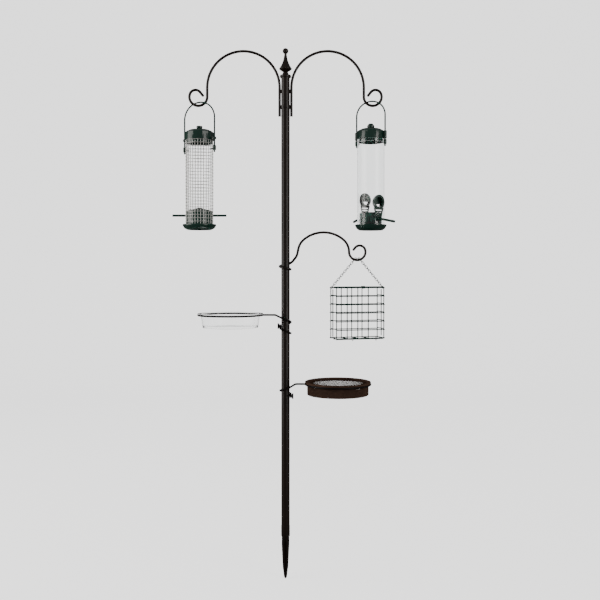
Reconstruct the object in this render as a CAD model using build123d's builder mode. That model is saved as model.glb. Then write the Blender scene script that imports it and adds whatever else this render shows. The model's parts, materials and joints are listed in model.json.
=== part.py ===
"""Bird feeding station: a spiked tube pole with a twin-arm head, two hanging tube
feeders, a wrapped side hook with a suet cage, a water dish and a mesh seed tray.

Millimetres, +Z up. The origin is the tip of the ground spike, on the pole's axis.
The arms reach out along X, and -Y is the front.
"""

import os
from math import ceil, cos, hypot, pi, radians, sin, sqrt

from build123d import *

os.makedirs("parts", exist_ok=True)

# ---------------------------------------------------------------- dimensions
# Pole, in two tube sections over a crimped ground spike
pole_r = 11.0
pole_wall = 1.2
spigot_length = 40.0
spigot_gap = 0.08
spike_collar_r = 11.5
spike_taper_length = 110.8
spike_collar_length = 27.2
lower_section_length = 476.0
upper_section_length = 611.4

# Head tube, finial and the twin arms welded to the head tube
head_length = 77.2
head_rim_r = 14.5
head_rim_height = 6.0
finial_height = 70.2
finial_skirt_r = 16.8
finial_ball_r = 7.65
finial_plug_length = 15.0
finial_plug_gap = 0.05
arm_r = 3.5
arm_leg_gap = 0.9
arm_leg_below_joint = 24.4
arm_leg_length = 75.6
arch_r = 94.1
arm_drop = 24.7
curl_r = 23.2
curl_tip_r = 15.5
curl_tail = 11.0
weld_height = 8.0
collar_wall = 1.9
weld_swell = 0.08

# Nut feeder: wire mesh tube, base with a perch, cap that slides up its bail
nut_hang_offset = 2.9
nut_tube_r = 36.5
nut_tube_length = 220.3
nut_tube_wall = 1.2
nut_base_r = 43.3
nut_base_height = 12.0
nut_cup_height = 36.7
nut_perch_r = 3.0
nut_perch_length = 141.0
nut_perch_above_seat = 25.0
nut_bail_r = 2.0
nut_bail_half_width = 47.0
nut_bail_rise = 43.0
nut_hang_depth = 99.3
nut_bail_slack = 3.3

# Seed feeder: clear tube, two ports with perches, base, cap and bail
seed_hang_offset = 5.0
seed_bail_slack = 5.4
seed_tube_r = 35.0
seed_tube_length = 225.0
seed_tube_wall = 1.5
seed_base_r = 41.0
seed_base_height = 11.0
seed_pedestal_r = 29.5
seed_pedestal_height = 34.5
seed_bail_r = 2.0
seed_bail_half_width = 40.0
seed_bail_rise = 37.5
seed_hang_depth = 99.2
port_width = 32.0
port_height = 38.0
port_wall = 4.0
port_above_seat = 59.8
port_stagger = 10.0
port_turns = (29.0, 201.0)
port_names = ("front", "back")
seed_perch_r = 3.2
seed_perch_length = 70.0
seed_perch_droop = 9.5

# Bails and caps, alike on both feeders
bail_turn = -28.0
bail_leg_below_prong = 8.0
nut_prong_drop = 23.4
seed_prong_drop = 10.0
clip_r = 4.2
clip_length = 12.0
prong_r = 1.5
prong_inset = 3.0
cap_band_height = 19.0
cap_dome_height = 10.0
cap_dome_steps = [(0.36, 1.0), (0.66, 0.78), (0.88, 0.38), (1.0, 0.0)]
cap_wall = 2.0
cap_overhang = 1.9
cap_collar_depth = 8.0
cap_clearance = 0.4
cap_collar_ease = 0.3
cap_lift_gap = 0.2
nut_lug_height = 6.0
seed_lug_height = 20.0
cap_lug_r = 4.6
knob_height = 8.5

# Side hook that wraps once round the pole
hook_r = 3.25
hook_height = 815.5
hook_pitch = 18.0
hook_turns = 0.67
wrap_gap = 0.3

# Suet cage on its chain
cage_width = 131.0
cage_depth = 45.0
cage_height = 131.0
cage_wire_r = 1.25
cage_turn = 17.0
cage_bottom = 624.5
cage_bar_pitch = 29.2
cage_rows = 6
cage_corner_gap = 0.15
latch_width = 8.0
latch_plate = 1.0
latch_clearance = 0.4
latch_reach = 2.5
link_wire_r = 0.6
link_inner_length = 8.4
link_inner_width = 3.8
link_pitch = 7.9
chain_ring_r = 3.0
chain_ring_inset = 7.6
chain_ring_bite = 2.6
chain_start_lift = 1.2
top_link_along = 3.2
top_link_across = 7.6
top_link_rise = 0.5

# Wire brackets that wrap round the pole and clamp with a thumb screw
bracket_wire_r = 2.5
dish_ring_r = 83.0
dish_ring_reach = 142.0
dish_ring_height = 685.5
dish_wrap_top = 673.7
dish_wrap_pitch = 30.0
dish_wrap_turns = 1.22
tray_ring_r = 83.8
tray_ring_reach = 135.5
tray_ring_height = 507.0
tray_wrap_top = 493.5
tray_wrap_pitch = 20.0
tray_wrap_turns = 0.9
bracket_bend = 26.0
clamp_nut_r = 4.5
screw_r = 2.0
screw_gap = 0.06
screw_tip_gap = 0.3
screw_lobe_r = 3.6
screw_lobe_spread = 3.6
screw_head = 4.2

# Dishes that drop into the rings
dish_gap = 4.5
dish_depth = 37.0
dish_wall = 1.6
dish_lip = 1.5
dish_taper = 5.0
dish_corner_r = 8.0
tray_gap = 1.8
tray_depth = 31.0
tray_wall = 1.0
tray_rim_height = 4.0
tray_bead_r = 1.2
rest_gap = 0.05

# ---------------------------------------------------------------- shared places
spike_length = spike_taper_length + spike_collar_length
pole_joint = spike_length + lower_section_length
head_joint = pole_joint + upper_section_length
head_top = head_joint + head_length + head_rim_height
pole_bore_r = pole_r - pole_wall
spigot_r = pole_bore_r - spigot_gap
arm_leg_x = pole_r + arm_leg_gap + arm_r
arch_centre_x = arm_leg_x + arch_r
arch_springing = head_joint - arm_leg_below_joint + arm_leg_length
arm_outer_x = arch_centre_x + arch_r
curl_centre_x = arm_outer_x + curl_r
curl_centre_z = arch_springing - arm_drop
hanging_plane = Plane.XZ
vertical = (0, 0, 1)


def side_plane(x, y):
    """The upright plane through (x, y) that faces the front, with local x along X."""
    return Plane(origin=(x, y, 0), x_dir=(1, 0, 0), z_dir=(0, -1, 0))


def spin(profile_points, x=0.0, y=0.0, mode=Mode.ADD):
    """Revolve a profile of (radius, height) points about the upright axis at (x, y)."""
    with BuildSketch(side_plane(x, y)) as profile:
        with BuildLine():
            Polyline(*profile_points, close=True)
        make_face()
    revolve(profile.sketch, axis=Axis((x, y, 0), vertical), mode=mode)


def rod(line, radius, round_ends=(0, 1), joined_end=None):
    """Sweep a round rod along a line, with ball ends and a weld where asked for."""
    if joined_end is not None:
        with Locations(line @ joined_end):
            Sphere(radius + weld_swell)
    for end in round_ends:
        with Locations(line @ end):
            Sphere(radius)
    with BuildSketch(Plane(origin=line @ 0, z_dir=line % 0)) as section:
        Circle(radius)
    sweep(section.sketch, path=line, is_frenet=True)


def wrap_line(turns, pitch, radius, top, top_angle, lefthand):
    """A helix round the pole that comes up to the angle and height given."""
    line = Helix(pitch, pitch * turns, radius, lefthand=lefthand)
    start_angle = top_angle + (360 if lefthand else -360) * turns
    return Pos(0, 0, top - pitch * turns) * Rot(0, 0, start_angle) * line


def write(node, name):
    """Label a finished piece and write its STEP file."""
    node.part.label = name
    export_step(node.part, f"parts/{name}.step")


# ---------------------------------------------------------------- pole and spike
def spike_outline(lobe_r, groove_r, blunt):
    """The outline of the crimped spike: four blunt lobes with grooves between."""
    points = []
    for quarter in range(4):
        lobe = Vector(lobe_r, 0).rotate(Axis.Z, 45 + 90 * quarter)
        edge = Vector(0, blunt / 2).rotate(Axis.Z, 45 + 90 * quarter)
        points += [lobe - edge, lobe + edge]
        points.append(Vector(groove_r, 0).rotate(Axis.Z, 90 + 90 * quarter))
    return points


spike_sections = (
    (0.0, 1.4, 1.0, 1.2),
    (0.04, 4.0, 2.2, 2.6),
    (0.3, 8.2, 3.6, 4.4),
    (0.82, 11.2, 5.0, 6.0),
    (1.0, 10.6, 8.6, 6.4),
)
with BuildPart() as ground_spike:
    for share, lobe_r, groove_r, blunt in spike_sections:
        with BuildSketch(Plane.XY.offset(share * spike_taper_length)):
            with BuildLine():
                Polyline(*spike_outline(lobe_r, groove_r, blunt), close=True)
            make_face()
    loft(ruled=True)
    with BuildSketch(Plane.XY.offset(spike_taper_length)):
        Circle(spike_collar_r)
    extrude(amount=spike_collar_length)
    with BuildSketch(Plane.XY.offset(spike_length)):
        Circle(spigot_r)
    extrude(amount=spigot_length)
write(ground_spike, "ground_spike")

with BuildPart() as pole_lower:
    with BuildSketch(Plane.XY.offset(spike_length)):
        Circle(pole_r)
        Circle(pole_bore_r, mode=Mode.SUBTRACT)
    extrude(amount=lower_section_length)
write(pole_lower, "pole_lower")

with BuildPart() as pole_upper:
    with BuildSketch(Plane.XY.offset(pole_joint)):
        Circle(pole_r)
    extrude(amount=upper_section_length)
    with BuildSketch(Plane.XY.offset(pole_joint - spigot_length)):
        Circle(spigot_r)
    extrude(amount=spigot_length)
    with BuildSketch(Plane.XY.offset(pole_joint - spigot_length)):
        Circle(spigot_r - pole_wall)
    extrude(amount=2 * spigot_length, mode=Mode.SUBTRACT)
    with BuildSketch(Plane.XY.offset(pole_joint + spigot_length / 2)):
        Circle(pole_bore_r)
    extrude(amount=upper_section_length, mode=Mode.SUBTRACT)
write(pole_upper, "pole_upper")

# ---------------------------------------------------------------- head and finial
with BuildPart() as head_tube:
    with BuildSketch(Plane.XY.offset(head_joint - spigot_length)):
        Circle(spigot_r)
    extrude(amount=spigot_length)
    with BuildSketch(Plane.XY.offset(head_joint)):
        Circle(pole_r)
    extrude(amount=head_length)
    with BuildSketch(Plane.XY.offset(head_joint + head_length)):
        Circle(head_rim_r)
    extrude(amount=head_rim_height)
    fillet(head_tube.edges().filter_by(GeomType.CIRCLE).group_by(Axis.Z)[-1], 2.0)
    with BuildSketch(Plane.XY.offset(head_joint - spigot_length)):
        Circle(spigot_r - pole_wall)
    extrude(amount=2 * spigot_length + head_length, mode=Mode.SUBTRACT)
write(head_tube, "head_tube")

finial_plug_r = spigot_r - pole_wall - finial_plug_gap
finial_waist_r = finial_skirt_r * 0.36
with BuildPart() as finial:
    with BuildSketch(side_plane(0, 0)):
        with BuildLine():
            bottom = head_top - finial_plug_length
            skirt = head_top + 16.4
            ball = head_top + finial_height - finial_ball_r
            neck = sqrt(finial_ball_r**2 - (finial_skirt_r * 0.2) ** 2)
            Polyline((0, bottom), (finial_plug_r, bottom), (finial_plug_r, head_top))
            ThreePointArc(
                (finial_plug_r, head_top),
                (finial_plug_r - 0.8, head_top + 4.4),
                (finial_waist_r, head_top + 7.6),
            )
            Polyline(
                (finial_waist_r, head_top + 7.6),
                (finial_skirt_r - 0.6, skirt - 1.6),
                (finial_skirt_r, skirt),
            )
            ThreePointArc(
                (finial_skirt_r, skirt),
                (finial_skirt_r * 0.47, skirt + (ball - neck - skirt) * 0.42),
                (finial_skirt_r * 0.2, ball - neck),
            )
            ThreePointArc(
                (finial_skirt_r * 0.2, ball - neck),
                (finial_ball_r, ball),
                (0, ball + finial_ball_r),
            )
            Line((0, ball + finial_ball_r), (0, bottom))
        make_face()
    revolve(axis=Axis.Z)
write(finial, "finial")

with BuildLine(hanging_plane) as right_arm_line:
    leg_foot = head_joint - arm_leg_below_joint
    leg = Line((arm_leg_x, leg_foot), (arm_leg_x, arch_springing))
    arch = JernArc(leg @ 1, leg % 1, arch_r, -180)
    drop = Line(arch @ 1, (arm_outer_x, curl_centre_z))
    curl = JernArc(drop @ 1, drop % 1, curl_r, 200)
    tightening = JernArc(curl @ 1, curl % 1, curl_tip_r, 122)
    Line(tightening @ 1, tightening @ 1 + (tightening % 1) * curl_tail)

with BuildPart() as right_arm:
    rod(right_arm_line.wire(), arm_r, round_ends=(1,))
write(right_arm, "right_arm")

with BuildPart() as left_arm:
    add(mirror(right_arm.part, about=Plane.YZ, mode=Mode.PRIVATE))
write(left_arm, "left_arm")

with BuildPart() as head_collar:
    with BuildSketch(Plane.XY.offset(head_joint - weld_height / 2)):
        Circle(pole_r + collar_wall)
        Circle(pole_r + spigot_gap, mode=Mode.SUBTRACT)
        with Locations((arm_leg_x, 0), (-arm_leg_x, 0)):
            Circle(arm_r, mode=Mode.SUBTRACT)
    extrude(amount=weld_height)
write(head_collar, "head_collar")

with BuildPart() as arm_welds:
    with BuildSketch(Plane.XY.offset(arch_springing - 1.8 * weld_height)):
        with Locations((arm_leg_x - arm_r, 0), (arm_r - arm_leg_x, 0)):
            Rectangle(2 * arm_r, 2 * arm_r)
        Circle(pole_r, mode=Mode.SUBTRACT)
        with Locations((arm_leg_x, 0), (-arm_leg_x, 0)):
            Circle(arm_r, mode=Mode.SUBTRACT)
    extrude(amount=weld_height)
write(arm_welds, "arm_welds")

# ---------------------------------------------------------------- feeder bails and caps
bail_x_dir = Vector(1, 0, 0).rotate(Axis.Z, bail_turn)
bail_normal = Vector(0, -1, 0).rotate(Axis.Z, bail_turn)


def bail_plane(x):
    """The upright plane that a feeder's bail lies in, on the feeder's axis."""
    return Plane(origin=(x, 0, 0), x_dir=bail_x_dir, z_dir=bail_normal)


def bail_line(x, half_width, rise, top, foot):
    """Half of a bail: a leg, a shoulder arc and the top arc to the middle."""
    shoulder_r = (rise - (1 - cos(radians(30))) * 2 * half_width) / (
        2 * cos(radians(30)) - 1
    )
    crown_r = 2 * half_width - shoulder_r
    with BuildLine(bail_plane(x)) as half:
        leg = Line((half_width, foot), (half_width, top - rise))
        shoulder = JernArc(leg @ 1, leg % 1, shoulder_r, 60)
        JernArc(shoulder @ 1, shoulder % 1, crown_r, 30)
    return half


def make_bail(x, half_width, rise, top, foot, wire_r):
    """The bent wire that a feeder hangs from."""
    half = bail_line(x, half_width, rise, top, foot).wire()
    with BuildPart() as bail:
        rod(half, wire_r, round_ends=(0,))
        mirror(about=Plane(origin=(x, 0, 0), z_dir=bail_x_dir))
    return bail


def make_clips(x, half_width, wire_r, prong_z, tube_r):
    """The two bushes at the bail's feet, each with a prong into the tube."""
    with BuildPart() as clips:
        for side in (-1, 1):
            centre = Vector(x, 0, 0) + bail_x_dir * (side * half_width)
            with BuildSketch(Plane(origin=(centre.X, centre.Y, prong_z - clip_length / 3))):
                Circle(clip_r)
                Circle(wire_r, mode=Mode.SUBTRACT)
            extrude(amount=clip_length)
            start = centre - bail_x_dir * (side * (wire_r + 0.6)) + Vector(0, 0, prong_z)
            reach = half_width - wire_r - 0.6 - (tube_r - prong_inset)
            with BuildSketch(Plane(origin=start, z_dir=bail_x_dir * -side)):
                Circle(prong_r)
            extrude(amount=reach)
    return clips


def prong_holes(x, prong_z, tube_r):
    """Cut the two holes that the prongs pass through."""
    with BuildSketch(Plane(origin=(x, 0, prong_z), z_dir=bail_x_dir)) as hole:
        Circle(prong_r + spigot_gap)
    extrude(hole.sketch, amount=tube_r * 1.5, both=True, mode=Mode.SUBTRACT)


def make_cap(x, tube_r, tube_top, half_width, wire_r, lug_height):
    """A hollow cap: faceted band, low dome, collar into the tube, two bail lugs."""
    outer_r = tube_r + cap_overhang
    rim = tube_top + cap_lift_gap
    band = rim + cap_band_height
    crown = band + cap_dome_height
    collar_r = tube_r - nut_tube_wall - cap_clearance - cap_collar_ease
    hollow_r = collar_r - cap_wall
    hollow_foot = rim - cap_collar_depth - 1
    domes = [
        [(r * along, band + cap_dome_height * up - drop) for along, up in cap_dome_steps]
        for r, drop in ((outer_r, 0), (hollow_r, cap_wall))
    ]
    with BuildPart() as cap:
        spin([(0, crown), *domes[0], (outer_r, rim), (0, rim)], x)
        with BuildSketch(Plane(origin=(x, 0, rim))):
            facet_angles = [60 * k + side for k in range(6) for side in (-17.5, 17.5)]
            Polygon(
                *[
                    Vector(outer_r, 0).rotate(Axis.Z, angle - 90)
                    for angle in facet_angles
                ],
                align=None,
            )
        extrude(amount=crown - rim, mode=Mode.INTERSECT)
        with BuildSketch(Plane(origin=(x, 0, rim))):
            for side in (-1, 1):
                place = bail_x_dir * (side * half_width)
                with Locations((place.X, place.Y)):
                    Circle(cap_lug_r)
                bar = bail_x_dir * (side * (half_width + outer_r - cap_wall * 2) / 2)
                with Locations(Location((bar.X, bar.Y), bail_turn)):
                    Rectangle(half_width - outer_r + cap_wall * 2, cap_lug_r * 1.6)
        extrude(amount=lug_height)
        with BuildSketch(Plane(origin=(x, 0, rim - cap_collar_depth))):
            Circle(collar_r)
        extrude(amount=cap_collar_depth)
        spin(
            [(0, crown - cap_wall), *domes[1], (hollow_r, hollow_foot), (0, hollow_foot)],
            x,
            mode=Mode.SUBTRACT,
        )
        for side in (-1, 1):
            place = Vector(x, 0, rim - 1) + bail_x_dir * (side * half_width)
            with BuildSketch(Plane(origin=place)):
                Circle(wire_r + cap_clearance)
            extrude(amount=lug_height + 2, mode=Mode.SUBTRACT)
    return cap


def make_knob(x, tube_top, radius, round_top):
    """The knob on a cap: a short neck under a flat or a round head."""
    seat = tube_top + cap_lift_gap + cap_band_height + cap_dome_height
    head = (
        [(radius, seat + knob_height * 0.45), (radius, seat + knob_height * 0.85)]
        if not round_top
        else [(radius, seat + knob_height * 0.3), (radius, seat + knob_height * 0.75)]
    )
    top_r = radius * (0.55 if round_top else 0.85)
    top = seat + knob_height * (1.4 if round_top else 1.0)
    with BuildPart() as knob:
        spin(
            [(0, seat), (radius * 0.8, seat), (radius * 0.8, seat + 1.5), *head]
            + [(top_r, top), (0, top)],
            x,
        )
    return knob


def tube_sleeve(x, radius, wall, foot, length):
    """A plain upright sleeve, open at both ends, added to the part being built."""
    with BuildSketch(Plane(origin=(x, 0, foot))) as ring:
        Circle(radius)
        Circle(radius - wall, mode=Mode.SUBTRACT)
    extrude(ring.sketch, amount=length)


# ---------------------------------------------------------------- nut feeder
nut_x = -(curl_centre_x - nut_hang_offset)
nut_hook_z = curl_centre_z - sqrt(curl_r**2 - nut_hang_offset**2)
nut_bail_top = nut_hook_z + arm_r + nut_bail_r + nut_bail_slack
nut_tube_top = nut_bail_top - nut_hang_depth
nut_seat = nut_tube_top - nut_tube_length
nut_prong_z = nut_tube_top - nut_prong_drop
nut_foot = nut_prong_z - bail_leg_below_prong
nut_bore_r = nut_tube_r - nut_tube_wall

nut_bail = make_bail(
    nut_x, nut_bail_half_width, nut_bail_rise, nut_bail_top, nut_foot, nut_bail_r
)
write(nut_bail, "nut_bail")

nut_bail_clips = make_clips(
    nut_x, nut_bail_half_width, nut_bail_r, nut_prong_z, nut_tube_r
)
write(nut_bail_clips, "nut_bail_clips")

nut_perch_z = nut_seat + nut_perch_above_seat
with BuildPart() as nut_mesh_tube:
    tube_sleeve(nut_x, nut_tube_r, nut_tube_wall, nut_seat, nut_tube_length)
    prong_holes(nut_x, nut_prong_z, nut_tube_r)
    with BuildSketch(Plane(origin=(nut_x, 0, nut_perch_z), z_dir=(1, 0, 0))):
        Circle(nut_perch_r + spigot_gap)
    extrude(amount=nut_tube_r * 1.5, both=True, mode=Mode.SUBTRACT)
write(nut_mesh_tube, "nut_mesh_tube")

nut_cup_r = nut_bore_r - cap_clearance
with BuildPart() as nut_base:
    spin(
        [
            (0, nut_seat + nut_cup_height + 9.3),
            (nut_cup_r, nut_seat + nut_cup_height),
            (nut_cup_r, nut_seat),
            (nut_base_r - 4.0, nut_seat),
            (nut_base_r - 0.8, nut_seat + 2.6),
            (nut_base_r, nut_seat + 1.6),
            (nut_base_r, nut_seat - 1.0),
            (nut_base_r * 0.9, nut_seat - nut_base_height * 0.66),
            (nut_base_r * 0.72, nut_seat - nut_base_height),
            (nut_base_r * 0.66, nut_seat - nut_base_height),
            (nut_base_r * 0.66, nut_seat - nut_base_height + 2.5),
            (nut_cup_r - 2.5, nut_seat - 3.0),
            (nut_cup_r - 2.5, nut_seat + nut_cup_height - 2.3),
            (0, nut_seat + nut_cup_height + 6.3),
        ],
        nut_x,
    )
    with BuildSketch(Plane(origin=(nut_x, 0, nut_perch_z), z_dir=(1, 0, 0))):
        Circle(nut_perch_r + spigot_gap)
    extrude(amount=nut_tube_r * 1.5, both=True, mode=Mode.SUBTRACT)
write(nut_base, "nut_base")

with BuildPart() as nut_perch:
    with BuildSketch(Plane(origin=(nut_x, 0, nut_perch_z), z_dir=(1, 0, 0))):
        Circle(nut_perch_r)
    extrude(amount=nut_perch_length / 2, both=True)
    fillet(nut_perch.edges().filter_by(GeomType.CIRCLE), nut_perch_r * 0.5)
write(nut_perch, "nut_perch")

nut_cap = make_cap(
    nut_x, nut_tube_r, nut_tube_top, nut_bail_half_width, nut_bail_r, nut_lug_height
)
write(nut_cap, "nut_cap")
nut_cap_knob = make_knob(nut_x, nut_tube_top, 8.0, round_top=False)
write(nut_cap_knob, "nut_cap_knob")

# ---------------------------------------------------------------- seed feeder
seed_x = curl_centre_x - seed_hang_offset
seed_hook_z = curl_centre_z - sqrt(curl_r**2 - seed_hang_offset**2)
seed_bail_top = seed_hook_z + arm_r + seed_bail_r + seed_bail_slack
seed_tube_top = seed_bail_top - seed_hang_depth
seed_seat = seed_tube_top - seed_tube_length
seed_prong_z = seed_tube_top - seed_prong_drop
seed_foot = seed_prong_z - bail_leg_below_prong

seed_bail = make_bail(
    seed_x, seed_bail_half_width, seed_bail_rise, seed_bail_top, seed_foot, seed_bail_r
)
write(seed_bail, "seed_bail")


def port_plane(turn, height):
    """A plane on the seed feeder's axis that looks out through a port."""
    out = Vector(0, -1, 0).rotate(Axis.Z, turn)
    side = Vector(1, 0, 0).rotate(Axis.Z, turn)
    return Plane(origin=(seed_x, 0, height), x_dir=side, z_dir=out)


port_heights = tuple(
    seed_seat + port_above_seat + port_stagger * k for k in range(len(port_names))
)

seed_tube_bore_r = seed_tube_r - seed_tube_wall
with BuildPart() as seed_tube:
    tube_sleeve(seed_x, seed_tube_r, seed_tube_wall, seed_seat, seed_tube_length)
    prong_holes(seed_x, seed_prong_z, seed_tube_r)
    for turn, height in zip(port_turns, port_heights):
        with BuildSketch(port_plane(turn, height)):
            Ellipse(port_width / 2 - port_wall + 0.1, port_height / 2 - port_wall + 0.1)
        extrude(amount=seed_tube_r * 1.4, mode=Mode.SUBTRACT)
write(seed_tube, "seed_tube")

seed_bail_clips = make_clips(
    seed_x, seed_bail_half_width, seed_bail_r, seed_prong_z, seed_tube_r
)
write(seed_bail_clips, "seed_bail_clips")

pedestal_top = seed_seat + seed_pedestal_height
with BuildPart() as seed_base:
    spin(
        [
            (0, pedestal_top),
            (seed_pedestal_r - 2.0, pedestal_top),
            (seed_pedestal_r, pedestal_top - 2.0),
            (seed_pedestal_r, seed_seat),
            (seed_base_r - 2.6, seed_seat),
            (seed_base_r - 1.0, seed_seat + 3.6),
            (seed_base_r, seed_seat + 3.2),
            (seed_base_r, seed_seat + 1.0),
            (seed_base_r * 0.9, seed_seat - seed_base_height * 0.6),
            (seed_base_r * 0.75, seed_seat - seed_base_height),
            (seed_base_r * 0.66, seed_seat - seed_base_height),
            (seed_base_r * 0.66, seed_seat - seed_base_height + 2.5),
            (seed_pedestal_r - 2.5, seed_seat - 3.0),
            (seed_pedestal_r - 2.5, pedestal_top - 2.5),
            (0, pedestal_top - 2.5),
        ],
        seed_x,
    )
write(seed_base, "seed_base")

hood_out = seed_tube_r + 5.0
spout_reach = 10.0
baffle_foot = -5.0
baffle_wall = 1.5
chute_top_width = port_width * 0.84
chute_foot_width = port_width * 0.36
chute_height = 28.0
chute_slots = 4
chute_slot_height = 2.6
socket_wall = 1.8
socket_length = 7.0
perch_drop = port_height / 2 + chute_height - 5.0


def perch_plane(turn, height):
    """The plane at a perch's inner end, looking out along the perch."""
    out = port_plane(turn, height).z_dir
    droop = radians(seed_perch_droop)
    start = Vector(seed_x, 0, height - perch_drop) + out * (seed_tube_r + 1.5)
    return Plane(origin=start, z_dir=out * cos(droop) - Vector(0, 0, sin(droop)))


def make_port(turn, height):
    """A port: an oval hood, a spout with a seed baffle, and a slatted chute below."""
    out = port_plane(turn, height)
    below = port_plane(turn, height - port_height / 2)
    with BuildPart() as port:
        with BuildSketch(out.offset(seed_tube_r * 0.8)):
            Ellipse(port_width / 2, port_height / 2)
        extrude(amount=hood_out - seed_tube_r * 0.8)
        with BuildSketch(below.offset(seed_tube_r * 0.8)):
            with BuildLine():
                Polyline(
                    (chute_top_width / 2, port_height * 0.12),
                    (-chute_top_width / 2, port_height * 0.12),
                    (-chute_foot_width / 2, -chute_height),
                    (chute_foot_width / 2, -chute_height),
                    close=True,
                )
            make_face()
        extrude(amount=hood_out - 1.0 - seed_tube_r * 0.8)
        with BuildSketch(perch_plane(turn, height)):
            Circle(seed_perch_r + socket_wall)
        extrude(amount=socket_length)
        with BuildSketch(Plane(origin=(seed_x, 0, height - port_height * 2))):
            Circle(seed_tube_r + spigot_gap)
        extrude(amount=port_height * 4, mode=Mode.SUBTRACT)
        for slot in range(chute_slots):
            drop = 2.0 + slot * (chute_height - 10.0) / (chute_slots - 1)
            share = drop / chute_height
            width = chute_top_width * (1 - share) + chute_foot_width * share - 5.0
            with BuildSketch(below):
                with Locations((0, -drop)):
                    Rectangle(width, chute_slot_height)
            extrude(amount=hood_out * 1.2, mode=Mode.SUBTRACT)
        with BuildSketch(out.offset(seed_tube_r - spout_reach)):
            Ellipse(port_width / 2 - port_wall, port_height / 2 - port_wall)
        extrude(amount=spout_reach + 2.0)
        with BuildSketch(out):
            Ellipse(port_width / 2 - port_wall - 1.6, port_height / 2 - port_wall - 1.6)
        extrude(amount=hood_out * 1.2, mode=Mode.SUBTRACT)
        with BuildSketch(out.offset(seed_tube_r - spout_reach)):
            Ellipse(port_width / 2 - port_wall, port_height / 2 - port_wall)
            with Locations((0, baffle_foot - port_height / 2)):
                Rectangle(port_width, port_height, mode=Mode.SUBTRACT)
        extrude(amount=baffle_wall)
        with BuildSketch(perch_plane(turn, height)):
            Circle(seed_perch_r + screw_gap)
        extrude(amount=socket_length * 2, mode=Mode.SUBTRACT)
    return port


def make_perch(turn, height):
    """A round perch that stands out of its socket and droops a little."""
    with BuildPart() as perch:
        with BuildSketch(perch_plane(turn, height)):
            Circle(seed_perch_r)
        extrude(amount=seed_perch_length)
        fillet(perch.edges().filter_by(GeomType.CIRCLE), seed_perch_r * 0.5)
    return perch


for name, turn, height in zip(port_names, port_turns, port_heights):
    write(make_port(turn, height), f"seed_port_{name}")
    write(make_perch(turn, height), f"seed_perch_{name}")

seed_cap = make_cap(
    seed_x, seed_tube_r, seed_tube_top, seed_bail_half_width, seed_bail_r, seed_lug_height
)
write(seed_cap, "seed_cap")
seed_cap_knob = make_knob(seed_x, seed_tube_top, 9.5, round_top=True)
write(seed_cap_knob, "seed_cap_knob")

# ---------------------------------------------------------------- side hook
wrap_r = pole_r + wrap_gap + hook_r
hook_wrap = wrap_line(hook_turns, hook_pitch, wrap_r, hook_height, 90, lefthand=True)
hook_curl_r = 21.5
with BuildLine(side_plane(0, wrap_r)) as hook_line:
    rise = FilletPolyline(
        (0, hook_height),
        (5.5, hook_height + 1.1),
        (16.5, hook_height + 6.4),
        (29.5, hook_height + 23.0),
        (33.5, hook_height + 42.0),
        radius=[18, 18, 24],
    )
    near_arc = JernArc(rise @ 1, rise % 1, 42.5, -38)
    over_arc = JernArc(near_arc @ 1, near_arc % 1, 80.5, -40)
    far_arc = JernArc(over_arc @ 1, over_arc % 1, 80.0, -40)
    fall_arc = JernArc(far_arc @ 1, far_arc % 1, 42.6, -50)
    hook_curl = JernArc(fall_arc @ 1, fall_arc % 1, hook_curl_r, 195)
    hook_tip = JernArc(hook_curl @ 1, hook_curl % 1, 15.0, 125)
    Line(hook_tip @ 1, hook_tip @ 1 + (hook_tip % 1) * 7.0)

with BuildPart() as side_hook:
    rod(hook_wrap, hook_r, round_ends=(0,), joined_end=1)
    rod(hook_line.wire(), hook_r, round_ends=(1,))
write(side_hook, "side_hook")

# ---------------------------------------------------------------- suet cage
hook_low = hook_curl.center_point - Vector(0, 0, hook_curl_r)
cage_x_dir = Vector(1, 0, 0).rotate(Axis.Z, cage_turn)
cage_y_dir = Vector(0, 1, 0).rotate(Axis.Z, cage_turn)
bar_columns = [k * cage_bar_pitch - cage_width / 2 for k in range(4)] + [cage_width / 2]
bar_rows = [k * cage_height / cage_rows for k in range(cage_rows + 1)]
bar_lap = cage_wire_r * 1.7
rail_inset = cage_depth / 2 - 2.0 * cage_wire_r - cage_corner_gap


def cage_point(x, y, z):
    """A point of the cage's own frame, whose origin is its floor's middle."""
    base = Vector(hook_low.X, hook_low.Y, cage_bottom)
    return base + cage_x_dir * x + cage_y_dir * y + Vector(0, 0, z)


def bar(start, end):
    """One straight wire of the cage, between two points of the cage's frame."""
    first = cage_point(*start)
    run = cage_point(*end) - first
    with BuildSketch(Plane(origin=first, z_dir=run)) as section:
        Circle(cage_wire_r)
    extrude(section.sketch, amount=run.length)


def make_face_panel(y, outward, foot):
    """A front or back panel: upright wires with crosswise wires lapped outside."""
    with BuildPart() as panel:
        for x in bar_columns:
            bar((x, y, foot), (x, y, cage_height + bar_lap))
        for z in bar_rows:
            lap = y + outward * bar_lap
            overrun = cage_width / 2 + bar_lap
            bar((-overrun, lap, z), (overrun, lap, z))
    return panel


def make_end_panel(x, outward):
    """A left or right panel: crosswise wires with one upright wire lapped outside."""
    reach = cage_depth / 2 - cage_wire_r - cage_corner_gap
    with BuildPart() as panel:
        for z in bar_rows[1:-1]:
            bar((x, -reach, z + bar_lap), (x, reach, z + bar_lap))
        middle = x + outward * bar_lap
        bar((middle, 0, bar_lap * 2), (middle, 0, cage_height - bar_lap * 2))
    return panel


def make_flat_panel(z, outward):
    """A floor or top panel: front-to-back wires on one long middle wire."""
    reach = cage_depth / 2 - cage_wire_r - cage_corner_gap
    with BuildPart() as panel:
        for x in bar_columns:
            bar((x, -reach, z), (x, reach, z))
        lap = z + outward * bar_lap
        for y in (0, -rail_inset):
            bar((-cage_width / 2, y, lap), (cage_width / 2, y, lap))
    return panel


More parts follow.
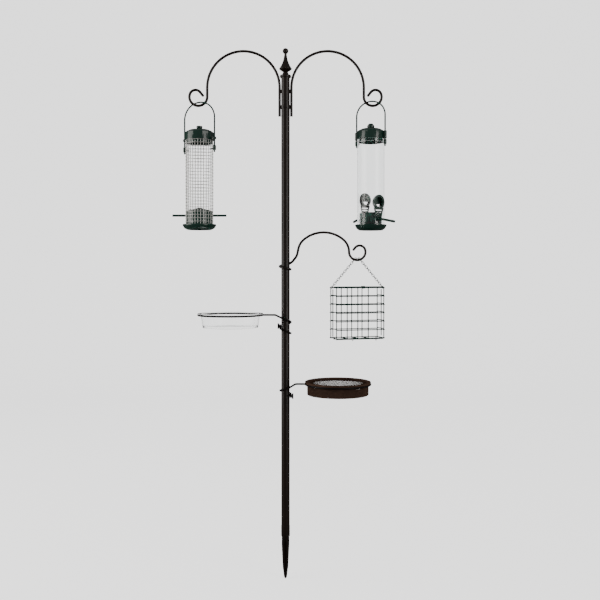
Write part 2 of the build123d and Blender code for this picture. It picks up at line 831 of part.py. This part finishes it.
write(make_face_panel(cage_depth / 2, 1, -bar_lap), "cage_back")
write(make_face_panel(-cage_depth / 2, -1, 0), "cage_door")
write(make_end_panel(-cage_width / 2, -1), "cage_left")
write(make_end_panel(cage_width / 2, 1), "cage_right")
write(make_flat_panel(0, -1), "cage_floor")
write(make_flat_panel(cage_height, 1), "cage_top")


def wire_ring(plane, ring_r, wire_r):
    """A closed round ring of wire, centred on a plane, added to the part being built."""
    section_at = plane.from_local_coords(Vector(ring_r, 0, 0))
    with BuildSketch(Plane(origin=section_at, x_dir=plane.x_dir, z_dir=plane.y_dir)) as cut:
        Circle(wire_r)
    revolve(cut.sketch, axis=Axis(plane.origin, plane.z_dir))


door_wire_y = -cage_depth / 2 - bar_lap
hinge_middle_y = (door_wire_y - rail_inset) / 2
hinge_span = hypot(door_wire_y + rail_inset, bar_lap) / 2
with BuildPart() as cage_hinge_rings:
    for x in (sum(bar_columns[1:3]) / 2, sum(bar_columns[3:5]) / 2):
        centre = cage_point(x, hinge_middle_y, -bar_lap / 2)
        ring_plane = Plane(origin=centre, x_dir=(0, 0, 1), z_dir=cage_x_dir)
        wire_ring(ring_plane, hinge_span + cage_wire_r + 2 * link_wire_r, link_wire_r)
write(cage_hinge_rings, "cage_hinge_rings")

latch_top = cage_height + bar_lap + cage_wire_r + latch_clearance
with BuildPart() as cage_latch:
    latch_start = cage_point((sum(bar_columns[2:4]) - latch_width) / 2, 0, 0)
    latch_plane = Plane(origin=latch_start, x_dir=cage_y_dir, z_dir=cage_x_dir)
    with BuildSketch(latch_plane):
        with Locations((door_wire_y, cage_height)):
            Circle(cage_wire_r + latch_plate)
        with BuildLine():
            front = door_wire_y - cage_wire_r - latch_plate
            Polyline(
                (front, cage_height),
                (front, latch_top + latch_plate),
                (-rail_inset + latch_reach, latch_top + latch_plate),
                (-rail_inset + latch_reach, latch_top),
                (front + latch_plate, latch_top),
                (front + latch_plate, cage_height),
                close=True,
            )
        make_face()
        with Locations((door_wire_y, cage_height)):
            Circle(cage_wire_r, mode=Mode.SUBTRACT)
    extrude(amount=latch_width)
write(cage_latch, "cage_latch")

# ---------------------------------------------------------------- chain
link_bend_r = link_inner_width / 2 + link_wire_r


def link(middle, run, face, inner_length):
    """One oval chain link, long along run, lying flat to the direction face."""
    plane = Plane(origin=middle, x_dir=run, z_dir=face)
    reach = inner_length / 2 + link_wire_r - link_bend_r
    with BuildLine(plane) as loop:
        upper = Line((-reach, link_bend_r), (reach, link_bend_r))
        JernArc(upper @ 1, upper % 1, link_bend_r, -180)
        Line((reach, -link_bend_r), (-reach, -link_bend_r))
        JernArc(upper @ 0, upper % 0 * -1, link_bend_r, 180)
    line = loop.wire()
    with BuildSketch(Plane(origin=line @ 0, z_dir=line % 0)) as section:
        Circle(link_wire_r)
    sweep(section.sketch, path=line)


def make_chain(start, ring_centre):
    """A run of links from the top link to an end ring, each turned a quarter."""
    run = (ring_centre - start).normalized()
    length = (ring_centre - start).length - chain_ring_bite
    count = 2 * ceil(length / link_pitch / 2)
    up = (Vector(0, 0, 1) - run * run.Z).normalized()
    with BuildPart() as chain:
        for k in range(count):
            middle = start + run * (length * (k + 0.5) / count)
            link(middle, run, up if k % 2 else run.cross(up), link_inner_length)
    return chain


ring_centres = [
    cage_point(side * cage_width / 2, -side * (cage_depth / 2 - chain_ring_inset), cage_height)
    + Vector(0, 0, chain_ring_r - link_wire_r - cage_wire_r - cage_corner_gap)
    for side in (-1, 1)
]
over_hook = hook_low + Vector(0, 0, hook_r + link_wire_r + top_link_rise)
top_link_half = Vector(top_link_along, -top_link_across, 0)
with BuildPart() as chain_top_link:
    link(
        over_hook,
        top_link_half.normalized(),
        Vector(0, 0, 1),
        2 * (top_link_half.length + link_bend_r - link_wire_r),
    )
write(chain_top_link, "chain_top_link")

for name, side, ring_centre in zip(("left", "right"), (-1, 1), ring_centres):
    chain_start = over_hook + top_link_half * side + Vector(side * 0.3, 0, chain_start_lift)
    write(make_chain(chain_start, ring_centre), f"chain_{name}")

with BuildPart() as chain_end_rings:
    for centre in ring_centres:
        ring_plane = Plane(origin=centre, x_dir=(0, 0, 1), z_dir=cage_y_dir)
        wire_ring(ring_plane, chain_ring_r, link_wire_r)
write(chain_end_rings, "chain_end_rings")

# ---------------------------------------------------------------- clamp brackets
clamp_r = pole_r + wrap_gap + bracket_wire_r
nut_offset = bracket_wire_r + screw_r + wrap_gap
nut_inner = pole_r + screw_tip_gap + 0.05
nut_outer = clamp_r + bracket_wire_r


def make_bracket_arm(side, reach, ring_r, height, top, pitch, ring):
    """A bracket's level arm, from its ring to the front of the pole."""
    lead = 6.0
    lead_rise = lead * pitch / (2 * pi * clamp_r)
    with BuildLine(side_plane(0, -clamp_r)) as level:
        FilletPolyline(
            (side * (reach - ring_r), height),
            (side * bracket_bend, height),
            (side * lead, top + lead_rise),
            (0, top),
            radius=[9, 12],
        )
    with BuildPart() as arm:
        rod(level.wire(), bracket_wire_r, round_ends=())
        add(ring.part, mode=Mode.SUBTRACT)
    return arm


def make_wrap(side, top, pitch, turns):
    """The end of a bracket's wire, wrapped round the pole from its front."""
    wrap = wrap_line(turns, pitch, clamp_r, top, 270, lefthand=side < 0)
    with BuildPart() as wrapped:
        rod(wrap, bracket_wire_r, round_ends=(0,))
    return wrapped


def make_ring(side, reach, ring_r, height):
    """A bracket's ring, level, centred on the line of its arm."""
    with BuildPart() as ring:
        middle = Vector(side * reach, -clamp_r, height)
        wire_ring(Plane(origin=middle), ring_r, bracket_wire_r)
    return ring


def make_nut(side, height, wrap):
    """The tapped boss on the wrap that the thumb screw runs through."""
    with BuildPart() as nut:
        with BuildSketch(Plane(origin=(side * nut_inner, 0, height), z_dir=(side, 0, 0))):
            Circle(clamp_nut_r)
            Circle(screw_r + screw_gap, mode=Mode.SUBTRACT)
        extrude(amount=nut_outer - nut_inner)
        add(wrap.part, mode=Mode.SUBTRACT)
    return nut


def make_screw(side, height):
    """A thumb screw: a shank that bears on the pole and a two-lobed head."""
    out = Vector(side, 0, 0)
    tip = Vector(side * (pole_r + screw_tip_gap), 0, height)
    seat = Vector(side * (nut_outer + wrap_gap), 0, height)
    with BuildPart() as screw:
        with BuildSketch(Plane(origin=tip, z_dir=out)):
            Circle(screw_r)
        extrude(amount=(seat - tip).length)
        with BuildSketch(Plane(origin=seat, x_dir=(0, 0, 1), z_dir=out)):
            with Locations((screw_lobe_spread, 0), (-screw_lobe_spread, 0)):
                Circle(screw_lobe_r)
            Circle(screw_r * 1.3)
        extrude(amount=screw_head)
        fillet(screw.faces().sort_by(Axis((0, 0, 0), out))[-1].edges(), 0.8)
    return screw


brackets = {
    "dish": (-1, dish_ring_reach, dish_ring_r, dish_ring_height)
    + (dish_wrap_top, dish_wrap_pitch, dish_wrap_turns),
    "tray": (1, tray_ring_reach, tray_ring_r, tray_ring_height)
    + (tray_wrap_top, tray_wrap_pitch, tray_wrap_turns),
}
for name, (side, reach, ring_r, height, top, pitch, turns) in brackets.items():
    screw_z = top - 0.75 * pitch - side * nut_offset
    ring = make_ring(side, reach, ring_r, height)
    write(ring, f"{name}_ring")
    arm = make_bracket_arm(side, reach, ring_r, height, top, pitch, ring)
    write(arm, f"{name}_bracket_arm")
    wrap = make_wrap(side, top, pitch, turns)
    write(wrap, f"{name}_bracket_wrap")
    write(make_nut(side, screw_z, wrap), f"{name}_clamp_nut")
    write(make_screw(side, screw_z), f"{name}_thumb_screw")

# ---------------------------------------------------------------- dish and tray
dish_r = dish_ring_r - bracket_wire_r - dish_gap
dish_top = dish_ring_height + bracket_wire_r + rest_gap
dish_floor = dish_top + dish_lip - dish_depth
dish_floor_r = dish_r - dish_taper
with BuildPart() as water_dish:
    with BuildSketch(side_plane(-dish_ring_reach, -clamp_r)) as dish_profile:
        with BuildLine():
            Polyline(
                (0, dish_floor),
                (dish_floor_r, dish_floor),
                (dish_r, dish_top),
                (dish_ring_r + dish_lip, dish_top),
                (dish_ring_r + dish_lip, dish_top + dish_lip),
                (dish_r - dish_wall, dish_top + dish_lip),
                (dish_floor_r - dish_wall, dish_floor + dish_wall),
                (0, dish_floor + dish_wall),
                close=True,
            )
        make_face()
        outer_corner = dish_profile.vertices().group_by(Axis.Y)[0].sort_by(Axis.X)[-1]
        inner_corner = dish_profile.vertices().group_by(Axis.Y)[1].sort_by(Axis.X)[-1]
        fillet(inner_corner, dish_corner_r - dish_wall)
        fillet(outer_corner, dish_corner_r)
    revolve(axis=Axis((-dish_ring_reach, -clamp_r, 0), vertical))
write(water_dish, "water_dish")

tray_r = tray_ring_r - bracket_wire_r - tray_gap
tray_top = tray_ring_height + bracket_wire_r + rest_gap
tray_floor = tray_top - tray_depth + tray_rim_height
with BuildPart() as seed_tray:
    spin(
        [
            (0, tray_floor),
            (tray_r, tray_floor),
            (tray_r, tray_top),
            (tray_r - tray_wall, tray_top),
            (tray_r - tray_wall, tray_floor + tray_wall),
            (0, tray_floor + tray_wall),
        ],
        tray_ring_reach,
        -clamp_r,
    )
write(seed_tray, "seed_tray")

with BuildPart() as seed_tray_rim:
    spin(
        [
            (tray_r - tray_wall, tray_top),
            (tray_ring_r + dish_lip, tray_top),
            (tray_ring_r + dish_lip, tray_top + tray_rim_height),
            (tray_r - tray_wall, tray_top + tray_rim_height),
        ],
        tray_ring_reach,
        -clamp_r,
    )
    fillet(seed_tray_rim.edges().filter_by(GeomType.CIRCLE).group_by(Axis.Z)[-1], 1.5)
write(seed_tray_rim, "seed_tray_rim")

with BuildPart() as seed_tray_bead:
    bead_centre = Vector(tray_ring_reach, -clamp_r, tray_floor - tray_bead_r)
    wire_ring(Plane(origin=bead_centre), tray_r - tray_bead_r, tray_bead_r)
write(seed_tray_bead, "seed_tray_bead")
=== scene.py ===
"""Looks for the bird feeding station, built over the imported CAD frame. Metres, +Z up."""

import json
from math import cos, pi, radians, sin, sqrt

import bmesh
import bpy
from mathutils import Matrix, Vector


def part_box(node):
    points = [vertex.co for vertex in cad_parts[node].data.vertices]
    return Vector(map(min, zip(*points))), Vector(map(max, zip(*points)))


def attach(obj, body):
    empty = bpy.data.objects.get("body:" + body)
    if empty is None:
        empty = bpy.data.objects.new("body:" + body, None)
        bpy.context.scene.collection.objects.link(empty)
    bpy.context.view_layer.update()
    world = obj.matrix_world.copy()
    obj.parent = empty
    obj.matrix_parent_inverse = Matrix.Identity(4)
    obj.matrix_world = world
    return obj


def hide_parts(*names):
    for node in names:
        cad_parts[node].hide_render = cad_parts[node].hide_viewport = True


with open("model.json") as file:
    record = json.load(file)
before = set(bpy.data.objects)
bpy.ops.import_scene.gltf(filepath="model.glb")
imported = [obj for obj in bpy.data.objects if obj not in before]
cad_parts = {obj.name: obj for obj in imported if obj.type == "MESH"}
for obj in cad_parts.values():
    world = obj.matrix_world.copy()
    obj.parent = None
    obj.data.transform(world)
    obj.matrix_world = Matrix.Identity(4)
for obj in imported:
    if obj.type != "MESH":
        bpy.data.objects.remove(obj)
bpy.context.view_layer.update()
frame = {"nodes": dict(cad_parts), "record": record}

# ---------------------------------------------------------------- materials
tone_scale = 14.0
tone_band = (0.35, 0.65)
grain_scale = 400.0
grain_depth = 0.0004
coat_roughness = 0.12
flow_scale = 60.0
flow_depth = 0.0003
flow_strength = 0.02


def node_of(tree, kind, **values):
    """Add a shader node and set its inputs by name."""
    node = tree.nodes.new(kind)
    for name, value in values.items():
        node.inputs[name.replace("_", " ")].default_value = value
    return node


def finish_material(
    name, dark, light, metallic=0.0, roughness=0.3, coat=0.0, bump=0.05, specular=0.5
):
    """A painted, moulded or metal finish with a slow tone change and a fine surface grain."""
    material = bpy.data.materials.new(name)
    material.use_nodes = True
    tree = material.node_tree
    shader = tree.nodes["Principled BSDF"]
    place = tree.nodes.new("ShaderNodeTexCoord")
    tone = node_of(tree, "ShaderNodeTexNoise", Scale=tone_scale, Detail=3.0)
    mix = tree.nodes.new("ShaderNodeValToRGB")
    for stop, position, color in zip(mix.color_ramp.elements, tone_band, (dark, light)):
        stop.position = position
        stop.color = (*color, 1.0)
    fine = node_of(tree, "ShaderNodeTexNoise", Scale=grain_scale, Detail=2.0)
    relief = node_of(tree, "ShaderNodeBump", Strength=bump, Distance=grain_depth)
    tree.links.new(place.outputs["Object"], tone.inputs["Vector"])
    tree.links.new(place.outputs["Object"], fine.inputs["Vector"])
    tree.links.new(tone.outputs["Fac"], mix.inputs["Fac"])
    tree.links.new(mix.outputs["Color"], shader.inputs["Base Color"])
    tree.links.new(fine.outputs["Fac"], relief.inputs["Height"])
    tree.links.new(relief.outputs["Normal"], shader.inputs["Normal"])
    shader.inputs["Metallic"].default_value = metallic
    shader.inputs["Roughness"].default_value = roughness
    shader.inputs["Coat Weight"].default_value = coat
    shader.inputs["Coat Roughness"].default_value = coat_roughness
    shader.inputs["Specular IOR Level"].default_value = specular
    return material


def clear_material(name, tint, roughness, ior):
    """A clear moulded plastic with faint flow marks."""
    material = bpy.data.materials.new(name)
    material.use_nodes = True
    tree = material.node_tree
    shader = tree.nodes["Principled BSDF"]
    place = tree.nodes.new("ShaderNodeTexCoord")
    marks = node_of(tree, "ShaderNodeTexNoise", Scale=flow_scale, Detail=2.0)
    relief = node_of(tree, "ShaderNodeBump", Strength=flow_strength, Distance=flow_depth)
    tree.links.new(place.outputs["Object"], marks.inputs["Vector"])
    tree.links.new(marks.outputs["Fac"], relief.inputs["Height"])
    tree.links.new(relief.outputs["Normal"], shader.inputs["Normal"])
    shader.inputs["Base Color"].default_value = (*tint, 1.0)
    shader.inputs["Transmission Weight"].default_value = 1.0
    shader.inputs["Roughness"].default_value = roughness
    shader.inputs["IOR"].default_value = ior
    return material


bronze = finish_material(
    "bronze_enamel", (0.009, 0.0055, 0.004), (0.016, 0.009, 0.0065), roughness=0.3, specular=0.35
)
black_wire = finish_material(
    "black_enamel", (0.006, 0.0045, 0.004), (0.011, 0.008, 0.007), roughness=0.45, specular=0.15
)
green_plastic = finish_material(
    "green_moulding", (0.003, 0.028, 0.019), (0.005, 0.04, 0.027), roughness=0.25, coat=0.2
)
green_wire = finish_material(
    "green_enamel", (0.005, 0.033, 0.024), (0.009, 0.048, 0.034), roughness=0.5, specular=0.1
)
silver_wire = finish_material(
    "plated_wire", (0.72, 0.72, 0.7), (0.86, 0.86, 0.84), metallic=0.55, roughness=0.4, bump=0.1
)
chain_steel = finish_material(
    "chain_plating",
    (0.02, 0.03, 0.026),
    (0.045, 0.055, 0.05),
    metallic=0.1,
    roughness=0.5,
    specular=0.2,
)
brown_mesh = finish_material(
    "brown_mesh", (0.06, 0.034, 0.024), (0.11, 0.064, 0.046), roughness=0.7, specular=0.05
)
clear_tube = clear_material("clear_tube", (0.97, 0.98, 0.98), 0.03, 1.35)
clear_dish = clear_material("clear_dish", (0.97, 0.975, 0.975), 0.06, 1.2)

slot_materials = {
    "bronze": bronze,
    "black_wire": black_wire,
    "green_plastic": green_plastic,
    "green_wire": green_wire,
    "silver_mesh": silver_wire,
    "chain_steel": chain_steel,
    "tray_mesh": brown_mesh,
    "clear_tube": clear_tube,
    "clear_dish": clear_dish,
}
slot_of = {part["node"]: part["material_slot"] for part in frame["record"]["subparts"]}
body_of = {
    node: body for body, nodes in frame["record"]["behaviour"]["bodies"].items() for node in nodes
}

# ---------------------------------------------------------------- shape tools
sharp_angle = radians(32.0)
join_distance = 2e-6


def put_in(name, mesh, node):
    """Add a mesh as the look of one CAD node, riding on that node's body."""
    thing = bpy.data.objects.new(name, mesh)
    bpy.context.collection.objects.link(thing)
    mesh.materials.clear()
    mesh.materials.append(slot_materials[slot_of[node]])
    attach(thing, body_of[node])
    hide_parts(node)
    return thing


def refined(node, bevel=0.0):
    """The CAD node's own surface, joined up, smooth shaded and softly edged."""
    mesh = frame["nodes"][node].data.copy()
    for spare in ("custom_normal", "sharp_face", "sharp_edge"):
        if spare in mesh.attributes:
            mesh.attributes.remove(mesh.attributes[spare])
    work = bmesh.new()
    work.from_mesh(mesh)
    bmesh.ops.remove_doubles(work, verts=work.verts, dist=join_distance)
    for face in work.faces:
        face.smooth = True
    for edge in work.edges:
        edge.smooth = not (edge.is_manifold and edge.calc_face_angle(0.0) > sharp_angle)
    work.to_mesh(mesh)
    work.free()
    thing = put_in(f"{node}_look", mesh, node)
    if bevel:
        soften = thing.modifiers.new("soft_edges", "BEVEL")
        soften.width = bevel
        soften.segments = 2
        soften.limit_method = "ANGLE"
        soften.angle_limit = sharp_angle
        soften.harden_normals = False


def wires(name, runs, radius, node, resolution=1):
    """Round wires along runs of (points, closed), as the look of one CAD node."""
    curve = bpy.data.curves.new(name, "CURVE")
    curve.dimensions = "3D"
    curve.bevel_depth = radius
    curve.bevel_resolution = resolution
    curve.use_fill_caps = True
    for points, closed in runs:
        spline = curve.splines.new("POLY")
        spline.points.add(len(points) - 1)
        for spot, point in zip(spline.points, points):
            spot.co = (*point, 1.0)
        spline.use_cyclic_u = closed
        spline.use_smooth = True
    thing = bpy.data.objects.new(name, curve)
    bpy.context.collection.objects.link(thing)
    curve.materials.append(slot_materials[slot_of[node]])
    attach(thing, body_of[node])
    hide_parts(node)


def circle(x, y, z, radius, count=48):
    """Points of a level circle."""
    return [
        Vector((x + radius * cos(2 * pi * k / count), y + radius * sin(2 * pi * k / count), z))
        for k in range(count)
    ]


# ---------------------------------------------------------------- wire mesh tube
low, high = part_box("nut_mesh_tube")
tube_x = (low.x + high.x) / 2
mesh_wire = 0.0006
mesh_r = (high.x - low.x) / 2 - 2 * mesh_wire
ring_r = mesh_r + 0.9 * mesh_wire
upright_r = mesh_r - 0.7 * mesh_wire
ring_count = 27
upright_count = 30
first_ring = low.z + mesh_wire
ring_pitch = (high.z - low.z - 2 * mesh_wire) / (ring_count - 1)
rings = [
    (circle(tube_x, 0.0, first_ring + ring_pitch * k, ring_r), True) for k in range(ring_count)
]
uprights = []
for k in range(upright_count):
    turn = 2 * pi * (k + 0.5) / upright_count
    x = tube_x + upright_r * cos(turn)
    y = upright_r * sin(turn)
    uprights.append(([Vector((x, y, low.z)), Vector((x, y, high.z))], False))
wires("nut_mesh", rings + uprights, mesh_wire, "nut_mesh_tube")

# ---------------------------------------------------------------- mesh tray
low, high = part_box("seed_tray")
tray_x = (low.x + high.x) / 2
tray_y = (low.y + high.y) / 2
weave = 0.0004
basket_r = (high.x - low.x) / 2 - 2 * weave
weave_pitch = 0.0014
weave_lap = 1.6 * weave
hoop_sides = 72
runs = []
wall_rows = int((high.z - low.z) / weave_pitch)
for k in range(wall_rows + 1):
    height = low.z + weave + (high.z - low.z - 2 * weave) * k / wall_rows
    runs.append((circle(tray_x, tray_y, height, basket_r + weave, hoop_sides), True))
wall_uprights = int(2 * pi * basket_r / weave_pitch)
for k in range(wall_uprights):
    turn = 2 * pi * k / wall_uprights
    spot = Vector((tray_x + basket_r * cos(turn), tray_y + basket_r * sin(turn), 0.0))
    foot, head = spot.copy(), spot.copy()
    foot.z, head.z = low.z + weave, high.z
    runs.append(([foot, head], False))
floor_lines = int(basket_r / weave_pitch)
for k in range(-floor_lines, floor_lines + 1):
    offset = k * weave_pitch
    reach = sqrt(max(basket_r**2 - offset**2, 0.0))
    for across in (0, 1):
        ends = []
        for side in (-reach, reach):
            point = (side, offset) if across else (offset, side)
            height = low.z + weave + weave_lap * across
            ends.append(Vector((tray_x + point[0], tray_y + point[1], height)))
        runs.append((ends, False))
wires("tray_basket", runs, weave, "seed_tray", resolution=0)

# ---------------------------------------------------------------- everything else
bevels = {
    "nut_cap": 0.0006,
    "seed_cap": 0.0006,
    "nut_base": 0.0004,
    "seed_base": 0.0004,
    "nut_cap_knob": 0.0006,
    "seed_cap_knob": 0.0008,
    "ground_spike": 0.0005,
    "dish_thumb_screw": 0.0003,
    "tray_thumb_screw": 0.0003,
    "seed_port_front": 0.0004,
    "seed_port_back": 0.0004,
}
for node in slot_of:
    if node not in ("nut_mesh_tube", "seed_tray"):
        refined(node, bevels.get(node, 0.0))

# ---------------------------------------------------------------- studio
floor_near = -4.0
cove_start = 3.0
cove_r = 1.5
wall_top = 6.0
floor_half_width = 7.0
lamp_height = 0.85
lamp_color = (1.0, 0.97, 0.93)

white = bpy.data.materials.new("pale_floor")
white.use_nodes = True
tree = white.node_tree
matt = tree.nodes["Principled BSDF"]
matt.inputs["Base Color"].default_value = (0.8, 0.8, 0.8, 1.0)
matt.inputs["Roughness"].default_value = 0.9
glow = node_of(tree, "ShaderNodeEmission", Strength=1.7)
both = tree.nodes.new("ShaderNodeAddShader")
quiet = node_of(tree, "ShaderNodeBsdfDiffuse", Color=(0.25, 0.25, 0.25, 1.0))
path = tree.nodes.new("ShaderNodeLightPath")
seen = tree.nodes.new("ShaderNodeMath")
seen.operation = "MAXIMUM"
choose = tree.nodes.new("ShaderNodeMixShader")
tree.links.new(matt.outputs["BSDF"], both.inputs[0])
tree.links.new(glow.outputs["Emission"], both.inputs[1])
tree.links.new(path.outputs["Is Camera Ray"], seen.inputs[0])
tree.links.new(path.outputs["Is Transmission Ray"], seen.inputs[1])
tree.links.new(seen.outputs["Value"], choose.inputs["Fac"])
tree.links.new(quiet.outputs["BSDF"], choose.inputs[1])
tree.links.new(both.outputs["Shader"], choose.inputs[2])
tree.links.new(choose.outputs["Shader"], tree.nodes["Material Output"].inputs["Surface"])

floor_mesh = bpy.data.meshes.new("floor")
work = bmesh.new()
profile = [(floor_near, 0.0), (cove_start, 0.0)]
for degrees in range(10, 91, 10):
    turn = radians(degrees)
    profile.append((cove_start + cove_r * sin(turn), cove_r - cove_r * cos(turn)))
profile.append((cove_start + cove_r, wall_top))
rows = [
    [work.verts.new((x, y, z)) for x in (-floor_half_width, floor_half_width)] for y, z in profile
]
for near, far in zip(rows, rows[1:]):
    work.faces.new((near[0], near[1], far[1], far[0])).smooth = True
work.to_mesh(floor_mesh)
work.free()
floor = bpy.data.objects.new("floor", floor_mesh)
bpy.context.collection.objects.link(floor)
floor_mesh.materials.append(white)

world = bpy.data.worlds.new("studio")
bpy.context.scene.world = world
world.use_nodes = True
background = world.node_tree.nodes["Background"]
background.inputs["Color"].default_value = (1.0, 0.995, 0.985, 1.0)
background.inputs["Strength"].default_value = 0.25


def soft_light(name, azimuth, distance, width, height, radiance):
    """A tall soft box that stands at an azimuth about the pole and faces it."""
    data = bpy.data.lights.new(name, "AREA")
    data.shape = "RECTANGLE"
    data.size = width
    data.size_y = height
    data.energy = radiance * pi * width * height
    data.color = lamp_color
    lamp = bpy.data.objects.new(name, data)
    bpy.context.collection.objects.link(lamp)
    turn = radians(azimuth)
    lamp.location = (distance * sin(turn), -distance * cos(turn), lamp_height)
    lamp.rotation_euler = (radians(90), 0.0, turn)


soft_light("key_left", -76.0, 3.0, 2.4, 4.0, 3.2)
soft_light("fill_right", 48.0, 3.4, 1.5, 4.0, 3.2)

camera_data = bpy.data.cameras.new("camera")
camera_data.lens = 48.9
camera_data.sensor_width = 36.0
camera_data.shift_y = -0.0483
camera = bpy.data.objects.new("camera", camera_data)
bpy.context.collection.objects.link(camera)
camera.location = (0.0377, -2.12, 0.799)
camera.rotation_euler = (radians(90), 0.0, 0.0)
bpy.context.scene.camera = camera
